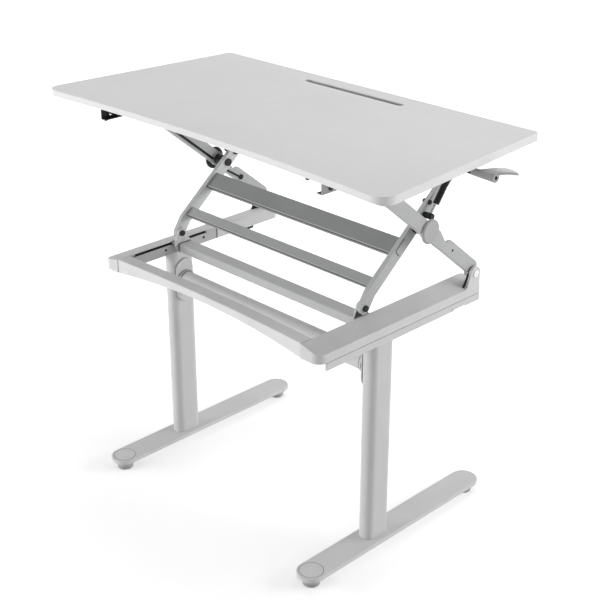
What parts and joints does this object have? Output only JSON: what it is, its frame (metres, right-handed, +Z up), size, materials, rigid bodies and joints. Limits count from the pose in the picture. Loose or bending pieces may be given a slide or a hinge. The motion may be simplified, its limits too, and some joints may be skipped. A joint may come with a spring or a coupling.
{
  "type": "height adjustable standing desk",
  "caption": "Standing desk with a tapered worktop lifted straight up by a scissor linkage with gas springs on a column base, with a side release handle.",
  "frame": {"origin": "on the floor, under the middle of the overall width with the handle, and midway along the feet", "axes": "+X to the right of the user, +Y to the back, +Z up"},
  "size_m": [1.2304, 0.6758, 1.078],
  "materials": {
    "worktop": "white matt laminate",
    "frame_grey": "light grey powder coat",
    "base_grey": "pale grey powder coat",
    "cover_grey": "light grey moulded",
    "cap_pale": "pale grey moulded",
    "dark_fitting": "black oxide",
    "black_plastic": "matt black",
    "bright_rod": "bright",
    "handle_grey": "dark grey moulded",
    "glide_grey": "grey moulded"
  },
  "bodies": {
    "base": {"foot_left": "base_grey", "foot_right": "base_grey", "foot_caps": "cap_pale", "column_left": "base_grey", "column_right": "base_grey", "crossbar_flange_left": "base_grey", "crossbar_flange_right": "base_grey", "crossbar_tube": "base_grey", "rail_beam_left": "frame_grey", "rail_beam_right": "frame_grey", "rail_cover_left": "cover_grey", "rail_cover_right": "cover_grey", "rail_end_left": "cover_grey", "rail_end_right": "cover_grey", "front_bar": "cover_grey", "rail_screws": "dark_fitting", "ear_pins": "cap_pale"},
    "outer_arms": {"outer_arm_left": "frame_grey", "outer_arm_right": "frame_grey", "hub_cap_left": "cap_pale", "hub_cap_right": "cap_pale", "hub_axle_left": "dark_fitting", "hub_axle_right": "dark_fitting", "plate_bolts": "dark_fitting"},
    "inner_frame": {"inner_arm_left": "frame_grey", "inner_arm_right": "frame_grey", "cross_panel": "frame_grey", "cross_bar_middle": "frame_grey", "stop_bolts": "dark_fitting", "spring_bolts": "dark_fitting"},
    "carriage": {"carriage_bar": "frame_grey", "carriage_cheek_left": "frame_grey", "carriage_cheek_right": "frame_grey", "carriage_bolts": "dark_fitting"},
    "top_sliders": {"top_slider_left": "black_plastic", "top_slider_right": "black_plastic", "slider_pins": "dark_fitting"},
    "desk": {"desktop": "worktop", "top_rail_left": "frame_grey", "top_rail_right": "frame_grey", "rear_bracket_left": "frame_grey", "rear_bracket_right": "frame_grey", "rear_pins": "dark_fitting", "top_rail_bolts": "dark_fitting", "spring_pins": "dark_fitting", "handle_mount": "black_plastic"},
    "spring_cylinders": {"gas_cylinder_left": "dark_fitting", "gas_cylinder_right": "dark_fitting"},
    "spring_rods": {"gas_rods": "bright_rod", "rod_ends": "dark_fitting"},
    "release_handle": {"handle": "handle_grey", "handle_collar": "black_plastic"},
    "glide_front_left": {"glide_front_left": "glide_grey"},
    "glide_front_right": {"glide_front_right": "glide_grey"},
    "glide_rear_left": {"glide_rear_left": "glide_grey"},
    "glide_rear_right": {"glide_rear_right": "glide_grey"}
  },
  "joints": [
    {"name": "lift", "type": "hinge", "parent": "base", "child": "outer_arms", "pos_m": [0, 0.261, 0.679], "axis": [-1, 0, 0], "range_deg": [-38.3, 10.7]},
    {"name": "crossing", "type": "hinge", "parent": "outer_arms", "child": "inner_frame", "pos_m": [0, 0.08423, 0.83985], "axis": [1, 0, 0], "range_deg": [-77.1, 21.9]},
    {"name": "desk_pivot", "type": "hinge", "parent": "inner_frame", "child": "desk", "pos_m": [0, 0.261, 1.0007], "axis": [-1, 0, 0], "range_deg": [-38.8, 11.2]},
    {"name": "carriage_pivot", "type": "hinge", "parent": "inner_frame", "child": "carriage", "pos_m": [0, -0.09254, 0.679], "axis": [-1, 0, 0], "range_deg": [-38.8, 11.2]},
    {"name": "slider_pivot", "type": "hinge", "parent": "outer_arms", "child": "top_sliders", "pos_m": [0, -0.09254, 1.0007], "axis": [1, 0, 0], "range_deg": [-38.8, 11.2]},
    {"name": "cylinder_pivot", "type": "hinge", "parent": "desk", "child": "spring_cylinders", "pos_m": [0, 0.24, 1.032], "axis": [1, 0, 0], "range_deg": [-38.8, 11.2]},
    {"name": "rod_pivot", "type": "hinge", "parent": "inner_frame", "child": "spring_rods", "pos_m": [0, 0.11355, 0.86402], "axis": [1, 0, 0], "range_deg": [-1.5, 1.5]},
    {"name": "handle_pull", "type": "hinge", "parent": "desk", "child": "release_handle", "pos_m": [0, 0.046, 1.037], "axis": [1, 0, 0], "range_deg": [0, 12], "stiffness_Nm_per_rad": 1.5},
    {"name": "glide_front_left_turn", "type": "hinge", "parent": "base", "child": "glide_front_left", "pos_m": [-0.39781, -0.3, 0], "axis": [0, 0, 1], "continuous": true},
    {"name": "glide_front_right_turn", "type": "hinge", "parent": "base", "child": "glide_front_right", "pos_m": [0.36019, -0.3, 0], "axis": [0, 0, 1], "continuous": true},
    {"name": "glide_rear_left_turn", "type": "hinge", "parent": "base", "child": "glide_rear_left", "pos_m": [-0.39781, 0.3, 0], "axis": [0, 0, 1], "continuous": true},
    {"name": "glide_rear_right_turn", "type": "hinge", "parent": "base", "child": "glide_rear_right", "pos_m": [0.36019, 0.3, 0], "axis": [0, 0, 1], "continuous": true}
  ],
  "couplings": [
    {"joint": "crossing", "follows": "lift", "ratio": 2},
    {"joint": "desk_pivot", "follows": "lift", "ratio": 1},
    {"joint": "carriage_pivot", "follows": "lift", "ratio": 1},
    {"joint": "slider_pivot", "follows": "lift", "ratio": 1},
    {"joint": "cylinder_pivot", "follows": "lift", "ratio": 0.982},
    {"joint": "rod_pivot", "follows": "lift", "ratio": -0.018}
  ]
}
